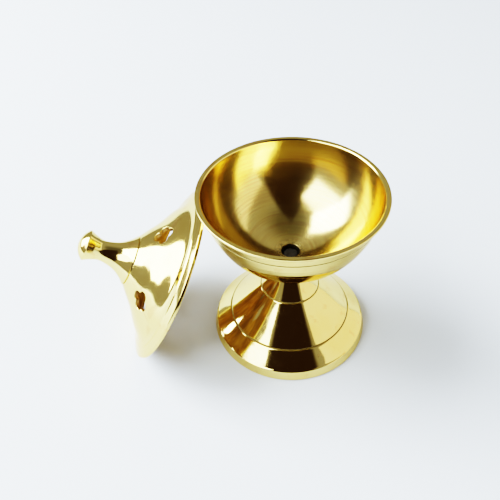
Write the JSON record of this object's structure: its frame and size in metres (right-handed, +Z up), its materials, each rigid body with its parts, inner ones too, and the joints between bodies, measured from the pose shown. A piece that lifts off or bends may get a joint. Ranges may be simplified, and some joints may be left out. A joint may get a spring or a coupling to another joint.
{
  "type": "table censer",
  "caption": "Footed brass table censer: a turned bowl bolted to a hollow trumpet foot, with a loose ogee lid pierced by quatrefoils and topped by a knob.",
  "frame": {"origin": "on the table, under the middle of the whole set (bowl on its foot with the lid leaning beside it)", "axes": "+Z up along the bowl's axis; +X from the leaning lid's knob towards the bowl; +Y sideways"},
  "size_m": [0.135, 0.0812, 0.082],
  "materials": {
    "polished_brass": "mirror polished and lacquered",
    "brushed_brass": "polished outside, satin turned inside",
    "bolt_steel": "dark plain steel"
  },
  "bodies": {
    "stand": {"foot": "polished_brass", "bowl": "brushed_brass", "centre_bolt": "bolt_steel", "bolt_washer": "bolt_steel"},
    "lid": {"lid_shell": "polished_brass", "finial": "polished_brass", "finial_screw": "bolt_steel"}
  },
  "joints": [
    {"name": "lid_lift", "type": "slide", "parent": "stand", "child": "lid", "axis": [-0.8704, 0, 0.4924], "range_m": [0, 0.06]}
  ]
}
